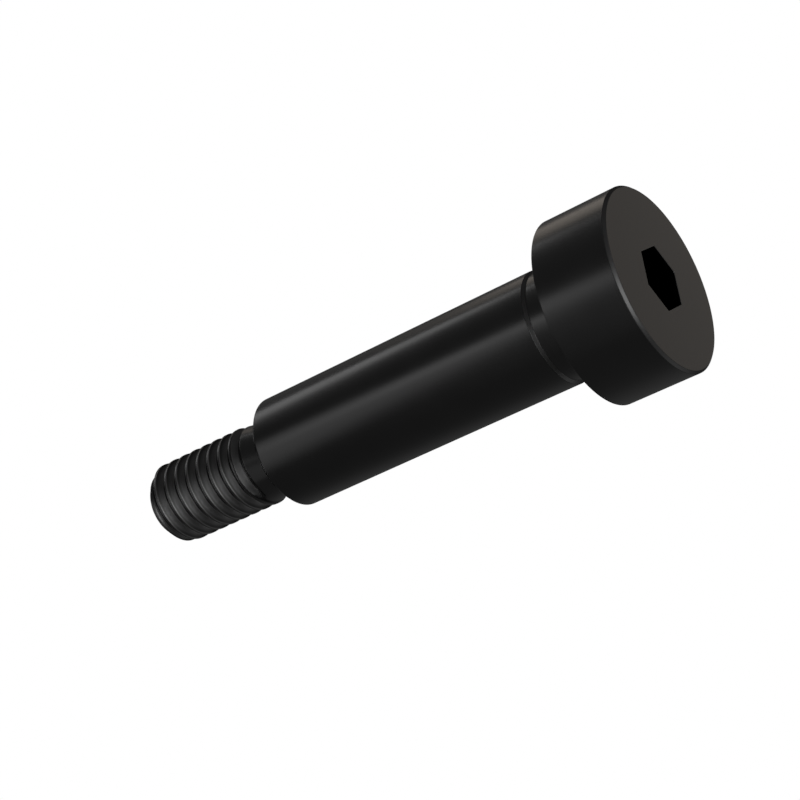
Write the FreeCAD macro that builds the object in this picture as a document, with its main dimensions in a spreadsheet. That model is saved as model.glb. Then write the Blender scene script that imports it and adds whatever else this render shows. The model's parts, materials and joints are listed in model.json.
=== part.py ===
# Shoulder bolt: one piece of steel with a round head, a hexagon socket, a plain
# ground shoulder and a coarse screw thread.
# It stands on its head. The origin is the middle of the head's face, Z runs up the
# axis to the thread's end, and every length is in millimetres.
import FreeCAD, Part
import os
import Sketcher

doc = FreeCAD.newDocument("shoulder_bolt")

# Sizes: every driving dimension is written once, here, and has a name of its own.
SIZES = {
    # The head is a plain cylinder with a chamfer round its face.
    "head_diameter": 12.87,
    "head_height": 5.47,
    "head_face_chamfer": 0.18,
    "head_back_chamfer": 0.04,
    # The socket is a hexagon, broached over a drilled hole whose cone is its floor.
    "socket_across_flats": 4.08,
    "socket_depth": 3.5,
    "drill_cone_depth": 1.18,
    # The shoulder runs from the head's underside. It is ground, and the neck, whose
    # width includes its slope up to the shoulder, keeps the wheel off the head.
    "shoulder_diameter": 7.97,
    "shoulder_length": 25.25,
    "shoulder_end_chamfer": 0.36,
    "neck_depth": 0.2,
    "neck_width": 2.5,
    # The thread's relief is a cone, narrow beside the shoulder. relief_depth and
    # relief_step are how far its narrow and its wide end lie below the crests.
    "relief_width": 2.12,
    "relief_depth": 0.485,
    "relief_step": 0.115,
    # The thread has a nominal diameter, and its crests lie thread_allowance below it.
    # thread_length is measured from the shoulder's end.
    "thread_diameter": 6,
    "thread_pitch": 1,
    "thread_allowance": 0.055,
    "thread_length": 10.9,
    "thread_end_chamfer": 0.77,
    # Where the groove's first root lies, from the shoulder's end and round the axis.
    "groove_start": 2.02,
    "groove_start_angle": 227,
}
sizes = doc.addObject("Spreadsheet::Sheet", "Sizes")
for row, (name, value) in enumerate(SIZES.items(), 1):
    sizes.set("A%d" % row, name)
    sizes.set("B%d" % row, str(value))
    sizes.setAlias("B%d" % row, name)
doc.recompute()

# Radii, measured from the axis.
HEAD = "Sizes.head_diameter / 2"
SHOULDER = "Sizes.shoulder_diameter / 2"
NECK = SHOULDER + " - Sizes.neck_depth"
NOMINAL = "Sizes.thread_diameter / 2"
CREST = NOMINAL + " - Sizes.thread_allowance"
RELIEF = CREST + " - Sizes.relief_depth"
RELIEF_RIM = CREST + " - Sizes.relief_step"

# Heights, measured from the head's face.
UNDERSIDE = "Sizes.head_height"
SHOULDER_END = UNDERSIDE + " + Sizes.shoulder_length"
RELIEF_END = SHOULDER_END + " + Sizes.relief_width"
THREAD_END = SHOULDER_END + " + Sizes.thread_length"
GROOVE_START = SHOULDER_END + " + Sizes.groove_start"

# The standard thread form, in shares of the pitch: the groove is 7/8 of a pitch wide
# at the nominal diameter and 1/6 at its root, which lies 17/24 of the height of a
# 60 degree triangle further in.
GROOVE_DEPTH = "17 / 24 * sqrt(3) / 2 * Sizes.thread_pitch"
GROOVE_MOUTH = "7 / 16 * Sizes.thread_pitch"
GROOVE_ROOT = "1 / 12 * Sizes.thread_pitch"
ROOT = NOMINAL + " - " + GROOVE_DEPTH


def outline(body, name, role, corners, turn=None):
    """Sketch with one closed outline of straight edges on an origin plane.

    role names the plane, such as XZ_Plane, and turn is the expression of an angle
    by which the plane is turned about its own upright.
    Each corner is a pair of expressions, across and along the plane, and two
    dimensions from the origin hold it there.
    """
    plane = next(item for item in body.Origin.OriginFeatures if item.Role == role)
    sketch = body.newObject("Sketcher::SketchObject", name)
    sketch.AttachmentSupport = [(plane, "")]
    sketch.MapMode = "FlatFace"
    if turn:
        upright = FreeCAD.Vector(0, 1, 0)
        sketch.AttachmentOffset = FreeCAD.Placement(
            FreeCAD.Vector(), FreeCAD.Rotation(upright, 0)
        )
        sketch.setExpression("AttachmentOffset.Rotation.Angle", turn)

    places = []
    for across, along in corners:
        x = float(body.evalExpression(across))
        y = float(body.evalExpression(along))
        places.append(FreeCAD.Vector(x, y, 0))
    count = len(places)
    for index in range(count):
        edge = Part.LineSegment(places[index], places[(index + 1) % count])
        sketch.addGeometry(edge, False)
    for index in range(count):
        following = (index + 1) % count
        joined = Sketcher.Constraint("Coincident", index, 2, following, 1)
        sketch.addConstraint(joined)
    for index, (across, along) in enumerate(corners):
        x = Sketcher.Constraint("DistanceX", -1, 1, index, 1, places[index].x)
        sketch.setExpression("Constraints[%d]" % sketch.addConstraint(x), across)
        y = Sketcher.Constraint("DistanceY", -1, 1, index, 1, places[index].y)
        sketch.setExpression("Constraints[%d]" % sketch.addConstraint(y), along)
    return sketch


def turned_blank(body):
    """The whole bolt as it comes off the lathe, without socket or thread."""
    corners = [
        ("0", "0"),
        (HEAD + " - Sizes.head_face_chamfer", "0"),
        (HEAD, "Sizes.head_face_chamfer"),
        (HEAD, UNDERSIDE + " - Sizes.head_back_chamfer"),
        (HEAD + " - Sizes.head_back_chamfer", UNDERSIDE),
        (NECK, UNDERSIDE),
        (NECK, UNDERSIDE + " + Sizes.neck_width - Sizes.neck_depth"),
        (SHOULDER, UNDERSIDE + " + Sizes.neck_width"),
        (SHOULDER, SHOULDER_END + " - Sizes.shoulder_end_chamfer"),
        (SHOULDER + " - Sizes.shoulder_end_chamfer", SHOULDER_END),
        (RELIEF, SHOULDER_END),
        (RELIEF_RIM, RELIEF_END),
        (CREST, RELIEF_END + " + Sizes.relief_step"),
        (CREST, THREAD_END + " - Sizes.thread_end_chamfer"),
        (CREST + " - Sizes.thread_end_chamfer", THREAD_END),
        ("0", THREAD_END),
    ]
    profile = outline(body, "blank_outline", "XZ_Plane", corners)
    blank = body.newObject("PartDesign::Revolution", "turned_blank")
    blank.Profile = profile
    blank.ReferenceAxis = (profile, ["V_Axis"])
    blank.Angle = 360
    doc.recompute()


def hexagon_socket(body):
    """Broached hexagon with its flats at 0, 60, 120 degrees and so on."""
    corners = []
    for turn in range(30, 390, 60):
        reach = "Sizes.socket_across_flats / sqrt(3) * "
        corners.append((reach + "cos(%d deg)" % turn, reach + "sin(%d deg)" % turn))
    profile = outline(body, "socket_outline", "XY_Plane", corners)
    socket = body.newObject("PartDesign::Pocket", "hexagon_socket")
    socket.Profile = profile
    socket.Reversed = True
    socket.setExpression("Length", "Sizes.socket_depth")
    doc.recompute()


def drill_cone(body):
    """Cone that the drill left at the socket's floor, as wide as the flats allow."""
    corners = [
        ("0", "Sizes.socket_depth"),
        ("Sizes.socket_across_flats / 2", "Sizes.socket_depth"),
        ("0", "Sizes.socket_depth + Sizes.drill_cone_depth"),
    ]
    profile = outline(body, "drill_outline", "XZ_Plane", corners)
    cone = body.newObject("PartDesign::Groove", "drill_cone")
    cone.Profile = profile
    cone.ReferenceAxis = (profile, ["V_Axis"])
    cone.Angle = 360
    doc.recompute()


def thread_groove(body):
    """Right-hand helical groove, from the relief's rim out past the thread's end."""
    corners = [
        (ROOT, GROOVE_START + " - " + GROOVE_ROOT),
        (NOMINAL, GROOVE_START + " - " + GROOVE_MOUTH),
        (NOMINAL, GROOVE_START + " + " + GROOVE_MOUTH),
        (ROOT, GROOVE_START + " + " + GROOVE_ROOT),
    ]
    turn = "Sizes.groove_start_angle"
    profile = outline(body, "groove_outline", "XZ_Plane", corners, turn)
    groove = body.newObject("PartDesign::SubtractiveHelix", "thread_groove")
    groove.Profile = profile
    groove.ReferenceAxis = (profile, ["V_Axis"])
    groove.Mode = "pitch-height-angle"
    groove.setExpression("Pitch", "Sizes.thread_pitch")
    run = "Sizes.thread_length - Sizes.groove_start + Sizes.thread_pitch"
    groove.setExpression("Height", run)
    doc.recompute()


def shoulder_bolt():
    """The bolt: a turned blank and its three cuts, each of which takes metal away."""
    body = doc.addObject("PartDesign::Body", "shoulder_bolt")
    body.Label = "shoulder_bolt"
    turned_blank(body)
    for cut in (hexagon_socket, drill_cone, thread_groove):
        before = body.Shape.Volume
        cut(body)
        if not body.Shape.Volume < before:
            raise ValueError(cut.__name__ + " removed nothing")
    return body


def check(body):
    """Stop if a feature failed or the finished piece isn't one sound solid."""
    for item in doc.Objects:
        if "Invalid" in item.State or "Error" in item.State:
            raise ValueError(item.Name + " failed")
    shape = body.Shape
    if shape.isNull() or not shape.isValid() or len(shape.Solids) != 1:
        raise ValueError(body.Label + " isn't one valid solid")


bolt = shoulder_bolt()
check(bolt)
os.makedirs("parts", exist_ok=True)
bolt.Shape.exportStep("parts/" + bolt.Label + ".step")
print("%s: %.1f cubic millimetres" % (bolt.Label, bolt.Shape.Volume))
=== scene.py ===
# %% [markdown]
# # A shoulder bolt in black oxide steel
# The bolt is one piece of steel: a round head with a hexagon socket, a neck, a
# ground shoulder, a conical relief and a screw thread.
# Its solid was built before this file, in millimetres, and is loaded here as a
# frame that never moves. This file gives the bolt its finished skin and its light.

# %% Load the frame
import json

import bmesh
import bpy
import numpy as np
from mathutils import Matrix, Vector


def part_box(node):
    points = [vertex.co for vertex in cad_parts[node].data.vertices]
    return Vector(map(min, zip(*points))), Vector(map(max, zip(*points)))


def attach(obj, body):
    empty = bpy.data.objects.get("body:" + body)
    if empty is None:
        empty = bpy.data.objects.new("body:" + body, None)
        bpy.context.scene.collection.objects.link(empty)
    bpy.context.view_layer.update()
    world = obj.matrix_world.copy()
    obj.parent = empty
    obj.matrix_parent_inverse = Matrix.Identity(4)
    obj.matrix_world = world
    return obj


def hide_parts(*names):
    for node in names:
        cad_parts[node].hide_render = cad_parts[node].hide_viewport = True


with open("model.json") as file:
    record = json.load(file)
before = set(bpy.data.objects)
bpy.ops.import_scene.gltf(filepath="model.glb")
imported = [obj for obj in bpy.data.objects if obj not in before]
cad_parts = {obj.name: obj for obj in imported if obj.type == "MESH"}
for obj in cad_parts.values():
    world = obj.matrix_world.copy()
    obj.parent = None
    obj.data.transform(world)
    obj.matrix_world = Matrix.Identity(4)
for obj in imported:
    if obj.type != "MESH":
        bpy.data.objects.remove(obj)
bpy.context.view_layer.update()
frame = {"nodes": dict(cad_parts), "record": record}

print("nodes in the frame:", sorted(frame["nodes"]))

# %% [markdown]
# ## Sizes
# The frame already knows the big sizes: its box gives the head's diameter and the
# whole length, and its mounts give the shoulder and the two faces that seat. Only
# what they don't say is written here. Blender works in metres, so each millimetre
# is named once and multiplied in.

# %% Sizes from the frame, and the few that it doesn't hold
MM = 0.001
low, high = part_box("shoulder_bolt")
mounts = {mount["name"]: mount for mount in frame["record"]["mounts"]}

head_radius = high.x
bolt_length = high.z
head_height = mounts["head_seat"]["pos_m"][2]
shoulder_radius = mounts["shoulder"]["dims"]["r_mm"] * MM
shoulder_end = mounts["shoulder_seat"]["pos_m"][2]

face_chamfer = 0.18 * MM
face_rim = head_radius - face_chamfer  # radius of the flat face
back_chamfer = 0.04 * MM
flat_distance = 2.04 * MM  # from the axis to each of the socket's six flats
socket_depth = 3.5 * MM
drill_tip = 4.68 * MM
neck_depth = 0.2 * MM
neck_width = 2.5 * MM
shoulder_chamfer = 0.36 * MM
nominal_radius = 3 * MM
crest_radius = 2.945 * MM
relief_radius = 2.46 * MM
relief_rim = 2.83 * MM
relief_width = 2.12 * MM
end_chamfer = 0.77 * MM
print("head %.2f mm across" % (head_radius * 2 / MM))
print("bolt %.2f mm long" % (bolt_length / MM))

# %% [markdown]
# ## The skin as one grid
# The bolt could be a stack of cylinders, cones and a cut helix, joined by booleans.
# Booleans leave ragged faces where a thread meets a chamfer, and hard edges that
# catch no light. Here the whole skin is one grid instead. One parameter walks along
# the profile, from the bottom of the socket, out over the face, along the bolt and
# in to the middle of its far end. The other goes once round the axis. Where rows or
# columns fall together, as at the two poles and the seam, they are merged at the end.

# %% Columns: the angles round the axis
COLUMNS = 240  # a multiple of 12, so that each corner of the hexagon has a column
angles = np.linspace(0, 2 * np.pi, COLUMNS + 1)
print("columns:", COLUMNS)

# %% [markdown]
# ## Rounded corners
# No turned edge is truly sharp: a tool leaves a few hundredths of a millimetre, and
# that small curve is what shows as a fine bright line. Each corner of the profile is
# rounded by a short parabola. Two holding rows stand just outside it, so that the
# flats beside it stay flat when the shading is smoothed.


# %% A profile with rounded corners
CURVE_POINTS = 4  # rows on each rounded corner
HOLD = 0.6  # from the curve out to its holding row, as a share of the reach
LONGEST = 0.9 * MM  # step along a profile


def rounded(corners, reaches):
    """Rows of a profile whose inner corners are rounded.

    Near a corner c, with a and b at the reach from it on its two edges, a point is
    (1 - t)^2 a + 2 t (1 - t) c + t^2 b, for CURVE_POINTS even values of t from 0 to
    1. A holding row lies HOLD times the reach further out on each side, and edges
    longer than LONGEST are divided evenly.
    """
    corners = np.array(corners, float)
    reaches = np.array(reaches, float)[:, None, None]
    corner = corners[1:-1, None]
    back = corners[:-2, None] - corner
    ahead = corners[2:, None] - corner
    back /= np.linalg.norm(back, axis=-1, keepdims=True)
    ahead /= np.linalg.norm(ahead, axis=-1, keepdims=True)
    t = np.linspace(0, 1, CURVE_POINTS)[None, :, None]
    first, last = corner + back * reaches, corner + ahead * reaches
    curve = (1 - t) ** 2 * first + 2 * t * (1 - t) * corner + t**2 * last
    hold = (1 + HOLD) * reaches
    rows = np.concatenate([corner + back * hold, curve, corner + ahead * hold], axis=1)
    rows = np.vstack([corners[:1], rows.reshape(-1, corners.shape[1]), corners[-1:]])

    step = np.linalg.norm(np.diff(rows, axis=0), axis=1)
    pieces = np.ceil(step / LONGEST).astype(int)
    share = np.concatenate([np.arange(count) / count for count in pieces] + [[0]])
    start = np.append(np.repeat(np.arange(len(step)), pieces), len(step) - 1)
    share[-1] = 1
    return rows[start] + (rows[start + 1] - rows[start]) * share[:, None]


print("rows at a rounded corner:", CURVE_POINTS + 2)

# %% [markdown]
# ## Head and socket
# A row of the skin needs a radius for each angle. On turned parts it is the same all
# round. In the socket it follows the hexagon. So each row is three numbers: how much
# of the hexagon's radius it takes, how much plain radius it adds, and its height. The
# face is then a blend of the two, from the socket's mouth out to the round edge.


# %% The hexagon's radius, and rows carried round the axis
def hexagon(angle):
    """Distance from the axis to a hexagon of six flats, the first at angle 0.

    It is the distance to a flat divided by the cosine of the angle from the middle
    of the nearest flat.
    """
    sixth = np.pi / 3
    from_middle = (angle + sixth / 2) % sixth - sixth / 2
    return flat_distance / np.cos(from_middle)


def carried_round(rows):
    """Radius and height, at every column, of rows of three numbers.

    The three are the hexagon's share, the plain radius and the height, and a radius
    is the share times the hexagon's own radius, plus the plain radius.
    """
    share, plain, height = np.asarray(rows, float).T[:, :, None]
    radius = share * hexagon(angles) + plain
    return radius, np.broadcast_to(height, radius.shape)


socket_edge = 0.03 * MM  # reach of the broken edge round the mouth
socket_corner = 0.02 * MM  # and of the corner where the walls meet the floor
socket_rows = [
    # the drill's cone
    (0, 0, drill_tip),
    (0, 0.5 * flat_distance, 0.5 * (drill_tip + socket_depth)),
    # the floor round it
    (0, flat_distance, socket_depth),
    (1, -2.5 * socket_corner, socket_depth),
    # the walls
    (1, 0, socket_depth - socket_corner),
    (1, 0, socket_depth - 5 * socket_corner),
    (1, 0, 0.6 * socket_depth),
    (1, 0, 0.3 * socket_depth),
    (1, 0, 2 * socket_edge),
    (1, 0, socket_edge),
    # the broken edge, and the face beside it
    (1, 0.3 * socket_edge, 0.3 * socket_edge),
    (1, socket_edge, 0),
    (1, 2 * socket_edge, 0),
]
mouth_rows = 3  # the last of them, which lie on the broken edge and the face
print("rows in the socket:", len(socket_rows))

# %% [markdown]
# ## Head, neck, shoulder and relief
# This is the lathe's work: one profile from the face to the relief beside the
# thread. Each corner has its own reach, small at the head's back edge, which is
# barely broken, and larger at the chamfers. The neck keeps the grinding wheel off the
# head, and the relief lets the thread's die run out before it meets the shoulder.

# %% The turned profile
def relief_cone(height):
    """Radius of the relief at a height: it grows evenly over the relief's width."""
    grown = (relief_rim - relief_radius) * (height - shoulder_end) / relief_width
    return relief_radius + grown


neck_radius = shoulder_radius - neck_depth
thread_low = shoulder_end + 1.48 * MM  # a height on the relief, below the groove
face_rows = [(1 - share, share * face_rim, 0) for share in (0.25, 0.5)]
turned = [  # each corner's radius and height, and its reach in millimetres
    ((0.75 * face_rim, 0), None),
    ((face_rim, 0), 0.03),
    ((head_radius, face_chamfer), 0.03),
    ((head_radius, head_height - back_chamfer), 0.011),
    ((head_radius - back_chamfer, head_height), 0.011),
    ((neck_radius, head_height), 0.05),
    ((neck_radius, head_height + neck_width - neck_depth), 0.02),
    ((shoulder_radius, head_height + neck_width), 0.02),
    ((shoulder_radius, shoulder_end - shoulder_chamfer), 0.04),
    ((shoulder_radius - shoulder_chamfer, shoulder_end), 0.04),
    ((relief_radius, shoulder_end), 0.06),
    ((relief_cone(thread_low), thread_low), None),
]
turned_corners = [corner for corner, _ in turned]
turned_reaches = [reach * MM for _, reach in turned[1:-1]]
turned_rows = np.insert(rounded(turned_corners, turned_reaches), 0, 0, axis=1)
print("rows on the turned part:", len(turned_rows))

# %% [markdown]
# ## The thread
# A screw thread is a groove that climbs one pitch a turn. A plain grid of level rows
# would cut it into steps, so here the rows climb with the groove: each is a helix of
# its own, and the crest's edges and the root lie along rows, clean all the way round.
# Every row keeps its place in the groove's section as it climbs. Below the groove's
# start and above the thread's end the rows are clipped to one height, where they
# fall together and are merged away.
#
# In the photograph the groove isn't at full depth at once. It sinks in over about an
# eighth of a turn, as a groove does where a die lets go.

# %% The thread's rows and its section
pitch = 1 * MM
start_angle = np.radians(227)  # where the groove's first root lies, round the axis
start_height = shoulder_end + 2.02 * MM
root_half = pitch / 12  # half the width of the groove's floor
triangle = np.sqrt(3) / 2 * pitch  # height of the standard's 60 degree triangle
root_radius = nominal_radius - 17 / 24 * triangle
flank_slope = np.sqrt(3)  # a flank leans 30 degrees from square to the axis
root_blend = 0.08 * MM  # over which the floor turns into a flank
crest_blend = 0.03 * MM  # and a flank into the crest
fade_start = np.radians(200)  # the angle round the axis at which the groove begins
run_out = np.radians(46)  # the arc over which it sinks to its full depth
thread_high = bolt_length - 0.12 * MM  # where the thread's rows end, on the chamfer

# The rows of one pitch, from mid crest over the root, at 0, to the next mid crest.
phases = [-0.5, -0.44, -0.415, -0.4, -0.38, -0.33, -0.22, -0.12, -0.085, -0.05]
phases = np.concatenate([phases, [0], -np.array(phases[:0:-1])])


def soft_least(first, second, blend):
    """The lesser of two values, with a rounded change over from one to the other.

    Where they differ by less than `blend`, h is 1 less that difference over blend,
    and the result is the lesser value less h^2 blend / 4.
    """
    near = np.maximum(blend - np.abs(first - second), 0) / blend
    return np.minimum(first, second) - near**2 * blend / 4


def blank(height):
    """Radius of the turned blank: relief, slope up to the crest, crest, end chamfer."""
    rim = shoulder_end + relief_width
    places = [thread_low, rim, rim + crest_radius - relief_rim]
    places += [bolt_length - end_chamfer, bolt_length]
    radii = [relief_cone(thread_low), relief_rim, crest_radius, crest_radius]
    radii += [crest_radius - end_chamfer]
    return np.interp(height, places, radii)


def groove(phase, angle):
    """Radius of the groove's own surface.

    phase counts pitches along the axis, and is a whole number at each root. From a
    root outwards the radius is the root's, and then climbs along the flank: the
    root's radius plus (distance - half floor) times the flank's slope. The whole
    section is lifted clear of the blank before the groove's start, and settles to
    full depth over the run-out: with t the share of the run-out that is travelled,
    what remains of the lift is 1 - t t (3 - 2 t).
    """
    nearest = np.round(phase)
    off_root = np.abs(phase - nearest) * pitch
    flank = root_radius + (off_root - root_half) * flank_slope
    section = -soft_least(-flank, np.full_like(flank, -root_radius), root_blend)
    travelled = 2 * np.pi * nearest + angle - fade_start
    depth = np.clip(travelled / run_out, 0, 1)
    depth = depth * depth * (3 - 2 * depth)
    return section + (1 - depth) * (nominal_radius - root_radius)


def threaded():
    """Radius, height and phase of the thread's rows at every column.

    A row of phase p stands, at angle a, at the height of p + a / (2 pi) pitches from
    the place where the first root would cross angle 0. Heights are clipped to the
    thread, and the phase is then read back from the clipped height.
    """
    reference = start_height - pitch * start_angle / (2 * np.pi)
    first = int(np.floor((thread_low - reference) / pitch)) - 1
    last = int(np.ceil((thread_high - reference) / pitch)) + 1
    rows = (np.arange(first, last)[:, None] + phases[None, :-1]).ravel()[:, None]
    height = reference + pitch * (rows + angles / (2 * np.pi))
    height = np.clip(height, thread_low, thread_high)
    phase = (height - reference) / pitch - angles / (2 * np.pi)
    radius = soft_least(blank(height), groove(phase, angles), crest_blend)
    return radius, height, phase


thread_radius, thread_height, thread_phase = threaded()
print("rows on the thread:", len(thread_radius))

# %% [markdown]
# ## The far end
# The chamfer runs on past the last turn to a flat end, rounded where they meet. The
# profile ends on the axis.

# %% The end's profile
end_radius = crest_radius - end_chamfer
end_corners = [
    (end_radius + bolt_length - thread_high, thread_high),
    (end_radius, bolt_length),
    (0, bolt_length),
]
end_rows = np.insert(rounded(end_corners, [0.04 * MM]), 0, 0, axis=1)
print("rows on the end:", len(end_rows))

# %% [markdown]
# ## All rows together
# The socket, the face, the turned part, the thread and the end are stacked into one
# grid of radii and one of heights. `thread_rows` says where in them the thread lies.

# %% The whole grid
grids = [carried_round(rows) for rows in (socket_rows, face_rows, turned_rows)]
rows_before = sum(len(radius) for radius, _ in grids)
thread_rows = slice(rows_before, rows_before + len(thread_radius))
grids += [(thread_radius, thread_height), carried_round(end_rows)]
radius_grid = np.vstack([radius for radius, _ in grids])
height_grid = np.vstack([height for _, height in grids])
print("grid: %d rows by %d columns" % radius_grid.shape)

# %% [markdown]
# ## Where the finish is worn, and where light and shade are painted
# A real bolt isn't evenly black. The edges that stand out are worn a little lighter.
# Beyond that, the colour carries painted light and painted shade: the thread's flanks,
# the slope at the end of the neck and the chamfer round the face are painted lighter,
# the crests' edges carry a painted highlight besides their wear, and the thread's roots
# are painted near black. A painted picture could say so, but it would have to be fitted
# to the thread. Here one number for each point of the grid says it: 0 is the plain
# finish, 1 is a light grey for wear and painted light, and -1 is the near black of
# painted shade. It follows from the grid itself, so it lies exactly on the thread that
# it belongs to.
#
# The painted light isn't even round the axis either. In the photograph the flanks and
# the neck's slope are lightest on the side that the camera sees, and the face's chamfer
# is darkest on it, and the painted light is laid on the same way.


# %% Measures on the grid
def turning(radius, height):
    """Turn of the profile at each point, in radians, positive where it stands out.

    With s the step to a point and t the step on from it, each a pair of radius and
    height, it is the angle whose sine goes with s0 t1 - s1 t0 and whose cosine goes
    with s0 t0 + s1 t1.
    """
    steps = np.stack([np.diff(radius, axis=0), np.diff(height, axis=0)])
    before, after = steps[:, :-1], steps[:, 1:]
    cross = before[0] * after[1] - before[1] * after[0]
    dot = (before * after).sum(axis=0)
    turn = np.zeros_like(radius)
    turn[1:-1] = np.arctan2(cross, dot)
    return turn


def ramp(value, start, end):
    """Smooth change from 0 at start to 1 at end, and level beyond them.

    Between them it is t t (3 - 2 t), with t the share of the way that is passed.
    """
    share = np.clip((value - start) / (end - start), 0, 1)
    return share * share * (3 - 2 * share)


def between(values, least, most):
    """Whether each value lies between two limits."""
    return (values > least) & (values < most)


def facing(middle, reach):
    """1 on the side at the angle `middle`, and 0 from `reach` degrees beside it.

    It is the ramp of the cosine of the angle from the middle, from the cosine of the
    reach up to 1.
    """
    return ramp(np.cos(angles - np.radians(middle)), np.cos(np.radians(reach)), 1)


bends = turning(radius_grid, height_grid)
print("sharpest turn outwards: %.0f degrees" % np.degrees(bends.max()))

# %% Wear and painted light on the turned part
HAIR = 0.01 * MM  # keeps a choice of points clear of the edges beside them
wear_and_painted_shading_grid = 0.25 * ramp(bends, np.radians(4), np.radians(24))  # edges that stand out
wear_and_painted_shading_grid[: len(socket_rows) - mouth_rows] = 0
margin = 10 * HAIR
wear_and_painted_shading_grid[between(height_grid, head_height - margin, shoulder_end + margin)] = 0

front = np.broadcast_to(facing(270, 45), wear_and_painted_shading_grid.shape)
slope = between(radius_grid, neck_radius + HAIR, shoulder_radius - HAIR)
slope &= between(height_grid, head_height + 1 * MM, head_height + 3 * MM)
# The neck's slope is painted lighter, most on the side that faces the camera: painted
# light.
wear_and_painted_shading_grid[slope] = 0.35 + 0.35 * front[slope]
bevel = (radius_grid > face_rim + HAIR) & (height_grid < face_chamfer - HAIR)
# The face's chamfer is painted lighter, with less of it on the side that faces the
# camera: painted light.
wear_and_painted_shading_grid[bevel] = 0.25 - 0.16 * front[bevel]
print("points on the neck's slope:", slope.sum())
print("points on the face's chamfer:", bevel.sum())

# %% Where each point of the thread lies
nearest_root = np.round(thread_phase)
off_root = abs(thread_phase - nearest_root)  # in pitches
travelled = nearest_root + (angles - fade_start) / (2 * np.pi)  # turns of the groove
cut = (blank(thread_height) - thread_radius) / MM  # millimetres below the blank
later = ramp(travelled, 0.4, 1.0)  # 0 on the first part turn, 1 after a whole one
inward = ramp(bolt_length - thread_height, 0.5 * MM, 1.1 * MM)  # 0 by the far end
print("the groove makes %.1f turns" % travelled.max())

# %% Painted light on the flanks and painted shade in the roots of the thread
# A flank gets painted light, more towards its root, and evenly on the first turn.
flank = 0.1 + 0.9 * ramp(off_root, 0.36, 0.13) * later + 0.6 * (1 - later)
# Only between root and crest, and where the groove is cut.
flank *= ramp(off_root, 0.085, 0.11) * ramp(cut, 0.015, 0.05)
flank *= ramp(travelled, 0.05, 0.18)
# Less by the far end, and more on the side that faces the camera.
flank *= 0.4 + 0.6 * inward
flank *= 0.65 + 0.35 * facing(260, 50)

# The crests' edges get twice the edge wear, as a painted highlight, from the second
# turn on.
edges = 2 * wear_and_painted_shading_grid[thread_rows] * ramp(travelled, 0.95, 1.0)
edges *= 0.1 + 0.9 * inward

# The roots are painted near black: painted shade.
root = ramp(off_root, 0.09, 0.06) * ramp(cut, 0.05, 0.2) * ramp(travelled, 0.03, 0.09)
root *= 0.5 + 0.5 * later
wear_and_painted_shading_grid[thread_rows] = np.maximum(edges, flank) - root
print("rub runs from %.2f to %.2f" % (wear_and_painted_shading_grid.min(), wear_and_painted_shading_grid.max()))

# %% [markdown]
# ## From grid to mesh
# The grid is turned from radius and angle into x and y, and given to the mesh in one
# call. Each cell of the grid is one face, and its corners are listed so that it looks
# outwards. Merging what lies on the same spot closes the seam and the two poles, and
# removes the rows that were clipped together. The mask of wear and painted shading goes
# along as an attribute.


# %% Helpers for meshes and objects
def round_points(radius, height, angle):
    """Points of a grid: x is radius times cosine, y is radius times sine."""
    return np.stack([radius * np.cos(angle), radius * np.sin(angle), height], axis=-1)


def grid_mesh(name, points):
    """Mesh of a grid of points, with one face to each of its cells.

    A face's corners are a point, the next one in its row, and the two beside them in
    the following row. So it looks outwards where the rows climb the axis.
    """
    rows, columns = points.shape[:2]
    index = np.arange(rows * columns).reshape(rows, columns)
    cells = [index[:-1, :-1], index[:-1, 1:], index[1:, 1:], index[1:, :-1]]
    faces = np.stack(cells, axis=-1).reshape(-1, 4)
    mesh = bpy.data.meshes.new(name)
    mesh.from_pydata(points.reshape(-1, 3).tolist(), [], faces.tolist())
    print("%s: %d faces" % (name, len(mesh.polygons)))
    return mesh


def add_object(name, data):
    """New object in the scene, which shows a mesh, or is a lamp or a camera."""
    added = bpy.data.objects.new(name, data)
    bpy.context.scene.collection.objects.link(added)
    return added


skin = grid_mesh("bolt_skin", round_points(radius_grid, height_grid, angles))
skin.attributes.new("rub", "FLOAT", "POINT").data.foreach_set("value", wear_and_painted_shading_grid.ravel())
bolt = add_object("bolt_skin", skin)

# %% Close the skin
SAME_SPOT = 0.0001 * MM
work = bmesh.new()
work.from_mesh(skin)
bmesh.ops.remove_doubles(work, verts=work.verts, dist=SAME_SPOT)
open_edges = sum(not seam.is_manifold for seam in work.edges)
work.to_mesh(skin)
work.free()
skin.polygons.foreach_set("use_smooth", np.ones(len(skin.polygons), bool))
print("closed: %d faces, %d open edges" % (len(skin.polygons), open_edges))

# %% [markdown]
# ## Black oxide
# The finish is a thin black layer of iron oxide grown on the steel in a hot salt bath
# and sealed with oil. It isn't paint: it reflects as a metal does, but only four parts
# in a hundred. One material covers the bolt. Its patterns are node groups, each a
# single effect with named inputs, and the numbers that say how strong an effect is
# are given where the group is placed.
#
# A shader tree is made of many small steps, so the steps that come again are helpers.


# %% Helpers for shader nodes
def set_input(links, socket, value):
    """Give an input a link, if the value is a socket, or else a constant."""
    if isinstance(value, bpy.types.NodeSocket):
        links.new(value, socket)
    else:
        socket.default_value = value


def new_group(name, inputs, outputs):
    """Empty shader group with float sockets, and its input and output nodes."""
    group = bpy.data.node_groups.new(name, "ShaderNodeTree")
    for way, sockets in (("INPUT", inputs), ("OUTPUT", outputs)):
        for label in sockets:
            group.interface.new_socket(label, in_out=way, socket_type="NodeSocketFloat")
    return group, group.nodes.new("NodeGroupInput"), group.nodes.new("NodeGroupOutput")


def calculate(tree, operation, *values, clamp=False):
    """Result of a Math node on its values."""
    node = tree.nodes.new("ShaderNodeMath")
    node.operation = operation
    node.use_clamp = clamp
    for socket, value in zip(node.inputs, values):
        set_input(tree.links, socket, value)
    return node.outputs["Value"]


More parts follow.
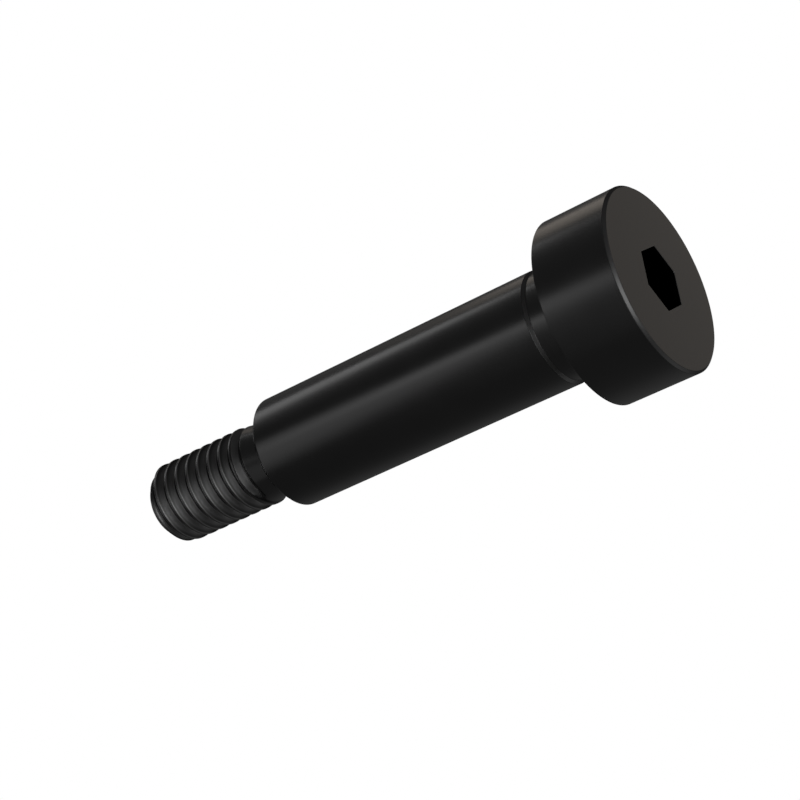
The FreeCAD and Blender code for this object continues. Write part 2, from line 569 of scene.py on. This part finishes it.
def mapped(tree, value, span, result=(0, 1), smooth=False):
    """Value carried from one span to another, and held at the ends."""
    node = tree.nodes.new("ShaderNodeMapRange")
    node.interpolation_type = "SMOOTHSTEP" if smooth else "LINEAR"
    names = ("Value", "From Min", "From Max", "To Min", "To Max")
    for name, number in zip(names, (value, *span, *result)):
        set_input(tree.links, node.inputs[name], number)
    return node.outputs["Result"]


def blend(tree, factor, first, second):
    """Colour mixed from first to second by a factor."""
    node = tree.nodes.new("ShaderNodeMix")
    node.data_type = "RGBA"
    for name, value in (("Factor", factor), ("A", first), ("B", second)):
        set_input(tree.links, node.inputs[name], value)
    return node.outputs["Result"]


def from_axis(tree):
    """Vector out from the axis, its length, and the height, from Object coordinates."""
    place = tree.nodes.new("ShaderNodeTexCoord")
    axes = tree.nodes.new("ShaderNodeSeparateXYZ")
    tree.links.new(place.outputs["Object"], axes.inputs["Vector"])
    flat = tree.nodes.new("ShaderNodeVectorMath")
    flat.operation = "MULTIPLY"
    flat.inputs[1].default_value = (1, 1, 0)
    tree.links.new(place.outputs["Object"], flat.inputs[0])
    length = tree.nodes.new("ShaderNodeVectorMath")
    length.operation = "LENGTH"
    tree.links.new(flat.outputs["Vector"], length.inputs[0])
    return flat.outputs["Vector"], length.outputs["Value"], axes.outputs["Z"]


def grey(value):
    """Neutral colour of one value."""
    return (value, value, value, 1)


print("a grey for shaders:", grey(0.5))

# %% [markdown]
# ### Rings left by the lathe and the grinding wheel
# A turned or ground surface carries fine rings. On a cylinder they follow the height,
# and on a face the distance from the axis. So a noise runs along a length that grows
# with both, and hardly changes round the axis.

# %% Group: rings
RADIUS_WEIGHT = 1.7  # not 1, or the two would cancel on a chamfer of 45 degrees
rings, given, result = new_group("ring_marks", ["Spacing"], ["Height"])
outward, distance, height = from_axis(rings)
direction = rings.nodes.new("ShaderNodeVectorMath")
direction.operation = "NORMALIZE"
rings.links.new(outward, direction.inputs[0])
along = calculate(rings, "MULTIPLY", distance, RADIUS_WEIGHT)
along = calculate(rings, "ADD", along, height)
along = calculate(rings, "DIVIDE", along, given.outputs["Spacing"])
noise = rings.nodes.new("ShaderNodeTexNoise")
noise.noise_dimensions = "4D"
noise.inputs["Scale"].default_value = 1
noise.inputs["Detail"].default_value = 3
rings.links.new(direction.outputs["Vector"], noise.inputs["Vector"])
rings.links.new(along, noise.inputs["W"])
rings.links.new(noise.outputs["Fac"], result.inputs["Height"])
print("ring_marks:", len(rings.nodes), "nodes")

# %% [markdown]
# ### Clouds of tone
# The salt bath doesn't blacken evenly. Wide, faint clouds change the tone a little,
# and the same group, placed again at a small size, gives the crystals' fine grain.

# %% Group: clouds
mottle, given, result = new_group("mottle", ["Size", "Detail"], ["Tone"])
place = mottle.nodes.new("ShaderNodeTexCoord")
noise = mottle.nodes.new("ShaderNodeTexNoise")
scale = calculate(mottle, "DIVIDE", 1, given.outputs["Size"])
mottle.links.new(place.outputs["Object"], noise.inputs["Vector"])
mottle.links.new(scale, noise.inputs["Scale"])
mottle.links.new(given.outputs["Detail"], noise.inputs["Detail"])
spread = mapped(mottle, noise.outputs["Fac"], (0.25, 0.75))  # noise keeps to its middle
mottle.links.new(spread, result.inputs["Tone"])
print("mottle:", len(mottle.nodes), "nodes")

# %% [markdown]
# ### Inside the socket
# The socket's inside is painted near black: painted shade for the deep recess. The mask
# is everything near the axis, growing from just inside the mouth, up to the back of the
# head.

# %% Group: inside the socket
limits = ["Radius", "Mouth", "Deep", "Top"]
inner, given, result = new_group("inside_socket", limits, ["Mask"])
_, distance, height = from_axis(inner)
narrow = calculate(inner, "LESS_THAN", distance, given.outputs["Radius"])
below = calculate(inner, "LESS_THAN", height, given.outputs["Top"])
span = (given.outputs["Mouth"], given.outputs["Deep"])
mask = calculate(inner, "MULTIPLY", narrow, below)
mask = calculate(inner, "MULTIPLY", mask, mapped(inner, height, span, smooth=True))
inner.links.new(mask, result.inputs["Mask"])
print("inside_socket:", len(inner.nodes), "nodes")

# %% [markdown]
# ### The material
# The oxide's grey goes with the clouds. The mask of wear and painted shading then draws
# it towards a near black below 0, painted shade in the thread's roots, and towards a
# light grey above, which is wear on the edges and painted light on the flanks, the
# neck's slope and the face's chamfer. Where the mask is above 0 the surface is rougher.

# %% Material: colour
OXIDE = (0.0395, 0.0425)  # greys of the plain finish, from cloud to cloud
# Near black for the thread's roots: painted shade.
PAINTED_ROOT_SHADE = 0.012
# Light grey for worn edges, and for painted light on the flanks, the neck's slope and
# the face's chamfer.
WEAR_AND_PAINTED_LIGHT_GREY = 0.4
# Near black inside the socket: painted shade.
SOCKET_PAINTED_SHADE = 0.004
finish = bpy.data.materials.new("black_oxide")
finish.use_nodes = True
tree = finish.node_tree
shader = tree.nodes["Principled BSDF"]
shader.inputs["Metallic"].default_value = 1


def placed(tree, group, **values):
    """Output of a group that is placed in a tree with its inputs set."""
    node = tree.nodes.new("ShaderNodeGroup")
    node.node_tree = group
    for socket, value in values.items():
        node.inputs[socket].default_value = value
    return node.outputs[0]


clouds = placed(tree, mottle, Size=3 * MM, Detail=4)
extent = {"Radius": 2.38 * MM, "Mouth": 0.03 * MM, "Deep": 0.4 * MM, "Top": head_height}
painted_socket_shade_mask = placed(tree, inner, **extent)
carried_wear_and_painted_shading = tree.nodes.new("ShaderNodeAttribute")
carried_wear_and_painted_shading.attribute_name = "rub"
rub = carried_wear_and_painted_shading.outputs["Fac"]

tone = blend(tree, clouds, grey(OXIDE[0]), grey(OXIDE[1]))
# Below 0, towards near black in the thread's roots: painted shade.
tone = blend(tree, mapped(tree, rub, (-1, 0)), grey(PAINTED_ROOT_SHADE), tone)
# Above 0, towards a light grey: wear on the edges, and painted light on the flanks, the
# neck's slope and the face's chamfer.
tone = blend(tree, rub, tone, grey(WEAR_AND_PAINTED_LIGHT_GREY))
# Near black inside the socket: painted shade.
tone = blend(tree, painted_socket_shade_mask, tone, grey(SOCKET_PAINTED_SHADE))
tree.links.new(tone, shader.inputs["Base Color"])
print("colour:", len(tree.nodes), "nodes")

# %% Material: roughness and fine relief
ROUGHNESS = (0.235, 0.265)  # of the plain finish, from cloud to cloud
SCRATCHES = 0.14  # roughness that the mask of wear and painted shading adds
FULL_ROUGHNESS_LEVEL = 0.125  # the mask's value from which it adds all of it
RING_SHARE, GRAIN_SHARE = 0.6, 0.4  # of the fine relief
DEPTH = 0.0003 * MM  # of both together

scratched = calculate(tree, "DIVIDE", rub, FULL_ROUGHNESS_LEVEL, clamp=True)
scratched = calculate(tree, "MULTIPLY", scratched, SCRATCHES)
rough = mapped(tree, clouds, (0, 1), ROUGHNESS)
rough = calculate(tree, "ADD", rough, scratched)
tree.links.new(rough, shader.inputs["Roughness"])

marks = placed(tree, rings, Spacing=0.1 * MM)
grain = placed(tree, mottle, Size=0.25 * MM, Detail=6)
marks = calculate(tree, "MULTIPLY", marks, RING_SHARE)
grain = calculate(tree, "MULTIPLY", grain, GRAIN_SHARE)
bump = tree.nodes.new("ShaderNodeBump")
bump.inputs["Strength"].default_value = 1
bump.inputs["Distance"].default_value = DEPTH
tree.links.new(calculate(tree, "ADD", marks, grain), bump.inputs["Height"])
tree.links.new(bump.outputs["Normal"], shader.inputs["Normal"])
bolt.data.materials.append(finish)
print("black_oxide:", len(tree.nodes), "nodes")

# %% [markdown]
# ## Camera
# The bolt stands on its head, and the camera looks at it along +Y from below the
# head, rolled over so that the bolt lies across the picture with its thread to the
# left. Its place, aim, roll and lens were fitted to the outlines in the photograph.

# %% Camera
camera_place = Vector((-0.04, -129.99, -52.58)) * MM
camera_aim = Vector((0.005, 0, 20.76)) * MM
camera_roll = np.radians(114.99)
camera_data = bpy.data.cameras.new("camera")
camera_data.lens = 99.86
camera_data.sensor_width = 36
camera_data.clip_start = 0.01


def turned_to(place, direction, axis, roll):
    """Matrix of an object at a place, its axis along a direction, rolled about it."""
    upright = direction.to_track_quat(axis, "Y").to_matrix()
    rolled = Matrix.Rotation(roll, 3, direction) @ upright
    return Matrix.Translation(place) @ rolled.to_4x4()


camera = add_object("camera", camera_data)
forward = (camera_aim - camera_place).normalized()
camera.matrix_world = turned_to(camera_place, forward, "-Z", camera_roll)
bpy.context.scene.camera = camera
print("camera %.1f mm away" % ((camera_aim - camera_place).length / MM))
print("elevation %.2f degrees" % np.degrees(np.arcsin(-forward.z)))

# %% [markdown]
# ## Softboxes
# Black steel shows little but what it reflects, so the lamps draw it. Each is a flat
# softbox: a lamp placed by its azimuth and elevation round the standing bolt, turned
# to face it, and sized by the angle that it fills. Its brightness is stated as the
# eye sees it in a mirror, and its power follows: brightness times pi times its area.
#
# The two in front on the left make the wide soft streak on the upper side, with its
# brighter core, and the two on the right make the narrow streak and its warm fade. The
# low and the middle one in front light the thread's flanks and the head's chamfer,
# and the last two the left limb and a patch of the relief. A lamp is seen by the
# metal and not by the camera.

# %% Softboxes
MIDDLE = Vector((0, 0, bolt_length / 2))
DISTANCE = 0.8  # metres from the bolt's middle to each lamp


def softbox(name, azimuth, elevation, halves, roll, brightness, tint=(1, 1, 1)):
    """Rectangular lamp in the direction (azimuth, elevation), with angles in degrees.

    `halves` are half the angles that its width and height fill. A side is then
    2 DISTANCE tan(half), and the lamp's direction from the bolt's middle is
    (cos e cos a, cos e sin a, sin e).
    """
    across, up, wide, tall, turn = np.radians((azimuth, elevation, *halves, roll))
    level = np.cos(up)
    away = Vector((level * np.cos(across), level * np.sin(across), np.sin(up)))
    lamp = bpy.data.lights.new(name, "AREA")
    lamp.shape = "RECTANGLE"
    lamp.size = 2 * DISTANCE * np.tan(wide)
    lamp.size_y = 2 * DISTANCE * np.tan(tall)
    lamp.energy = brightness * np.pi * lamp.size * lamp.size_y
    lamp.color = tint
    box = add_object(name, lamp)
    box.matrix_world = turned_to(MIDDLE + away * DISTANCE, away, "Z", turn)
    box.visible_camera = False
    print("%s: %.2f x %.2f m, %.2f W" % (name, lamp.size, lamp.size_y, lamp.energy))


softbox("front_left", -76.6, 39.8, (22.5, 14.0), -34.1, 0.85)
softbox("front_left_core", -61.4, 26.5, (6.1, 4.0), -21.2, 1.09)
softbox("right_strip", 8.0, 37.2, (16.7, 5.4), -38.0, 2.14)
softbox("right_fill", 39.5, 18.4, (11.5, 7.0), -1.5, 0.72, (1.13, 1, 0.87))
softbox("low_front", -94, -64, (15, 12), 0, 3.1)
softbox("mid_front", -90, -32, (17, 11), 0, 1.9)
softbox("left_low", 155, -28, (22, 13), 0, 0.2)
softbox("relief_patch", -105, 10, (22, 8), 0, 0.42)

# %% [markdown]
# ## Room
# Between the softboxes the metal sees the room: dim walls, a little brighter at the
# height of the eye and under the bolt, and darker behind it. The background of the
# picture is white. To the camera it is white everywhere, and metal and glass see it
# too, where it hangs: low behind the bolt, where the head's face looks. That part
# hangs in the shade, at a third of the strength and a little warmer, and gives the
# face its dark grey.

# %% Room: the walls
WALLS = {  # brightness by elevation, in degrees
    -90: 1.0,
    -65: 0.14,
    -45: 0.07,
    -25: 0.08,
    -5: 0.04,
    15: 0.21,
    35: 0.14,
    60: 0.12,
    90: 0.1,
}
SHADE = 0.34  # of that brightness, straight behind the bolt
world = bpy.data.worlds.new("studio")
world.use_nodes = True
room = world.node_tree
view = room.nodes.new("ShaderNodeTexCoord")
parts = room.nodes.new("ShaderNodeSeparateXYZ")
room.links.new(view.outputs["Generated"], parts.inputs["Vector"])

upward = calculate(room, "ARCSINE", parts.outputs["Z"])
tones = room.nodes.new("ShaderNodeValToRGB")
room.links.new(mapped(room, upward, (-np.pi / 2, np.pi / 2)), tones.inputs["Fac"])
stops = tones.color_ramp.elements
while len(stops) < len(WALLS):
    stops.new(0.5)
for stop, (angle, level) in zip(stops, WALLS.items()):
    stop.position = (angle + 90) / 180
    stop.color = grey(level)
behind = mapped(room, parts.outputs["Y"], (0.4, 1), (1, SHADE), smooth=True)
walls = calculate(room, "MULTIPLY", behind, tones.outputs["Color"])
print("walls:", len(WALLS), "levels")

# %% Room: the white background
BACKDROP = (0.35, 0.325, 0.3, 1)  # as metal and glass see it
LOW = np.radians(23)  # how far its middle hangs below the level
FADE = np.radians((26, 14))  # from its middle, where it begins and where it is full
toward = room.nodes.new("ShaderNodeVectorMath")
toward.operation = "DOT_PRODUCT"
toward.inputs[1].default_value = (0, np.cos(LOW), -np.sin(LOW))
room.links.new(view.outputs["Generated"], toward.inputs[0])
hangs = mapped(room, toward.outputs["Value"], np.cos(FADE), smooth=True)

rays = room.nodes.new("ShaderNodeLightPath")
glossy, through = rays.outputs["Is Glossy Ray"], rays.outputs["Is Transmission Ray"]
seen = calculate(room, "ADD", glossy, through)
seen = calculate(room, "MULTIPLY", seen, hangs, clamp=True)
light = blend(room, seen, walls, BACKDROP)
light = blend(room, rays.outputs["Is Camera Ray"], light, grey(1))
background = room.nodes["Background"]
background.inputs["Strength"].default_value = 1
room.links.new(light, background.inputs["Color"])
bpy.context.scene.world = world
bpy.context.scene.view_settings.view_transform = "Standard"
print("studio:", len(room.nodes), "nodes")

# %% [markdown]
# ## Floor
# The bolt stands on a pale floor, which ends at the rim of the head's face so that
# nothing lies under it. A camera above sees the floor and the shadow on it, out to
# where it fades into the white. The photograph is taken from below, so seen from
# there the floor isn't in the way, and the metal's reflections don't see it either.
# To the camera it glows faintly, which makes it pale without more light on the bolt.

# %% Floor
rim = face_rim + 0.02 * MM
reach = np.append(rim, np.geomspace(7 * MM, 300 * MM, 20))[::-1]  # so it looks up
turns = np.linspace(0, 2 * np.pi, 97)
floor_radius = np.repeat(reach[:, None], len(turns), axis=1)
floor_mesh = grid_mesh("floor", round_points(floor_radius, 0 * floor_radius, turns))
floor = add_object("floor", floor_mesh)
print("floor: out to %.0f mm" % (reach.max() / MM))

# %% The floor's material
NEAR, FAR = 0.04, 0.2  # metres from the axis: still whole, and wholly faded
pale = bpy.data.materials.new("pale_floor")
pale.use_nodes = True
tree = pale.node_tree
tree.nodes.clear()
output = tree.nodes.new("ShaderNodeOutputMaterial")
diffuse = tree.nodes.new("ShaderNodeBsdfDiffuse")
diffuse.inputs["Color"].default_value = grey(0.85)
glow = tree.nodes.new("ShaderNodeEmission")
glow.inputs["Strength"].default_value = 0.5
lit = tree.nodes.new("ShaderNodeAddShader")
tree.links.new(diffuse.outputs["BSDF"], lit.inputs[0])
tree.links.new(glow.outputs["Emission"], lit.inputs[1])
clear = tree.nodes.new("ShaderNodeBsdfTransparent")

# It shows to the camera's rays that come from above, as far as the fade.
_, distance, _ = from_axis(tree)
rays = tree.nodes.new("ShaderNodeLightPath").outputs["Is Camera Ray"]
under = tree.nodes.new("ShaderNodeNewGeometry").outputs["Backfacing"]
shown = calculate(tree, "SUBTRACT", rays, under, clamp=True)
near = mapped(tree, distance, (FAR, NEAR), smooth=True)
mixed = tree.nodes.new("ShaderNodeMixShader")
tree.links.new(calculate(tree, "MULTIPLY", shown, near), mixed.inputs[0])
tree.links.new(clear.outputs["BSDF"], mixed.inputs[1])
tree.links.new(lit.outputs["Shader"], mixed.inputs[2])
tree.links.new(mixed.outputs["Shader"], output.inputs["Surface"])
pale.cycles.emission_sampling = "NONE"  # its glow isn't a lamp
floor_mesh.materials.append(pale)
print("pale_floor:", len(tree.nodes), "nodes")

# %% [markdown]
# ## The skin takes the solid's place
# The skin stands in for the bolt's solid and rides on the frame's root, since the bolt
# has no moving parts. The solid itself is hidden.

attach(bolt, "root")
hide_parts("shoulder_bolt")
